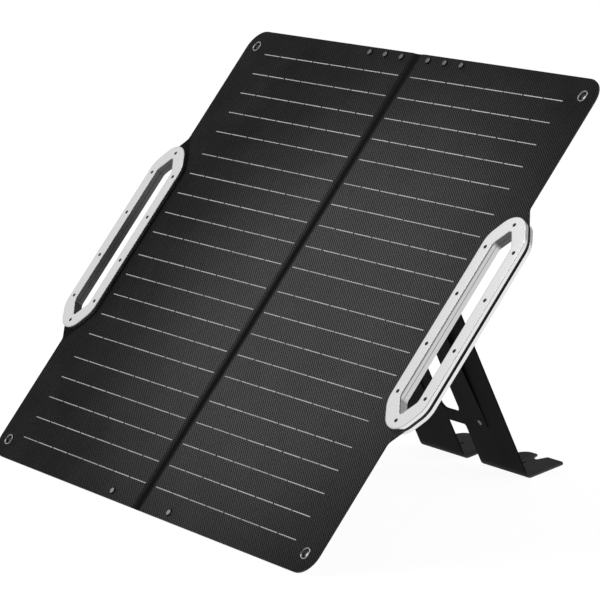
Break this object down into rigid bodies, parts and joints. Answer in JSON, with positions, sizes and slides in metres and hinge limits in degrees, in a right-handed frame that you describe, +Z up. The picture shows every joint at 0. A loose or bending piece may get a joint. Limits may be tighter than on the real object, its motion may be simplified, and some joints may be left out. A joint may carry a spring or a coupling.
{
  "type": "folding solar panel",
  "caption": "Folding solar panel for camping: two flat halves joined by a soft spine, with handle frames, corner eyelets and a hinged rear stand.",
  "frame": {"origin": "middle of the panel's footprint on the ground, between its bottom edge and the tips of its feet, on the line of the crease", "axes": "+X along the unfolded width, to the right seen from the front; +Y from the front to the back; +Z up"},
  "size_m": [0.855, 0.5762, 0.5472],
  "materials": {
    "laminate": "embossed fluoropolymer film, fine woven dimple, satin",
    "cell": "dark silicon",
    "ribbon": "tinned, dull",
    "board": "glass-fibre board",
    "border": "black moulded edge",
    "back_fabric": "coated polyester weave",
    "handle_shell": "satin face, polished sides",
    "black_screw": "black oxide",
    "eyelet": "black nickel, polished",
    "dark_rivet": "dark satin",
    "stud": "satin",
    "stand_fabric": "black coated fabric",
    "webbing": "woven webbing",
    "copper": "tinned braid",
    "box_plastic": "fine moulded grain",
    "circuit": "solder mask",
    "socket": "moulded",
    "steel_screw": "zinc plated"
  },
  "bodies": {
    "left_half": {"left_front_sheet": "laminate", "left_cells": "cell", "left_ribbons": "ribbon", "left_core_board": "board", "left_side_border": "border", "left_top_border": "border", "left_bottom_border": "border", "left_back_fabric": "back_fabric", "left_handle_front": "handle_shell", "left_handle_rear": "handle_shell", "left_handle_screws": "black_screw", "left_eyelets": "eyelet", "left_eyelet_washers": "eyelet", "left_top_rivets": "dark_rivet", "left_bottom_stud": "stud", "left_stand_anchor": "stand_fabric", "left_strap_tab": "webbing", "junction_box_base": "box_plastic", "junction_box_cover": "box_plastic", "circuit_board": "circuit", "output_socket": "socket", "junction_box_screws": "steel_screw"},
    "spine": {"spine_back_fabric": "back_fabric", "spine_front_fabric": "laminate", "spine_flex_cable": "copper"},
    "right_half": {"right_front_sheet": "laminate", "right_cells": "cell", "right_ribbons": "ribbon", "right_core_board": "board", "right_side_border": "border", "right_top_border": "border", "right_bottom_border": "border", "right_back_fabric": "back_fabric", "right_handle_front": "handle_shell", "right_handle_rear": "handle_shell", "right_handle_screws": "black_screw", "right_eyelets": "eyelet", "right_eyelet_washers": "eyelet", "right_top_rivets": "dark_rivet", "right_bottom_stud": "stud", "right_stand_anchor": "stand_fabric", "right_strap_tab": "webbing"},
    "left_stand": {"left_leg_board": "board", "left_leg_cover": "stand_fabric", "left_leg_bridge": "stand_fabric", "left_strap": "webbing", "left_strap_rivet": "dark_rivet"},
    "right_stand": {"right_leg_board": "board", "right_leg_cover": "stand_fabric", "right_leg_bridge": "stand_fabric", "right_strap": "webbing", "right_strap_rivet": "dark_rivet"},
    "left_foot": {"left_foot_board": "board", "left_foot_cover": "stand_fabric"},
    "right_foot": {"right_foot_board": "board", "right_foot_cover": "stand_fabric"}
  },
  "joints": [
    {"name": "spine_fold", "type": "hinge", "parent": "left_half", "child": "spine", "pos_m": [-0.0088, -0.07409, 0.2726], "axis": [0, -0.6129, -0.7902], "range_deg": [0, 90]},
    {"name": "panel_fold", "type": "hinge", "parent": "spine", "child": "right_half", "pos_m": [0.0088, -0.07409, 0.2726], "axis": [0, -0.6129, -0.7902], "range_deg": [0, 90]},
    {"name": "left_stand_fold", "type": "hinge", "parent": "left_half", "child": "left_stand", "pos_m": [-0.07, 0.03202, 0.40418], "axis": [1, 0, 0], "range_deg": [-63.6, 0], "deforming": ["left_strap"]},
    {"name": "right_stand_fold", "type": "hinge", "parent": "right_half", "child": "right_stand", "pos_m": [0.07, 0.03202, 0.40418], "axis": [1, 0, 0], "range_deg": [-63.6, 0], "deforming": ["right_strap"]},
    {"name": "left_foot_fold", "type": "hinge", "parent": "left_stand", "child": "left_foot", "pos_m": [-0.07, 0.22741, 0], "axis": [1, 0, 0], "range_deg": [-76.1, 0]},
    {"name": "right_foot_fold", "type": "hinge", "parent": "right_stand", "child": "right_foot", "pos_m": [0.07, 0.22741, 0], "axis": [1, 0, 0], "range_deg": [-76.1, 0]}
  ],
  "couplings": [
    {"joint": "spine_fold", "follows": "panel_fold", "ratio": 1},
    {"joint": "right_stand_fold", "follows": "left_stand_fold", "ratio": 1}
  ]
}
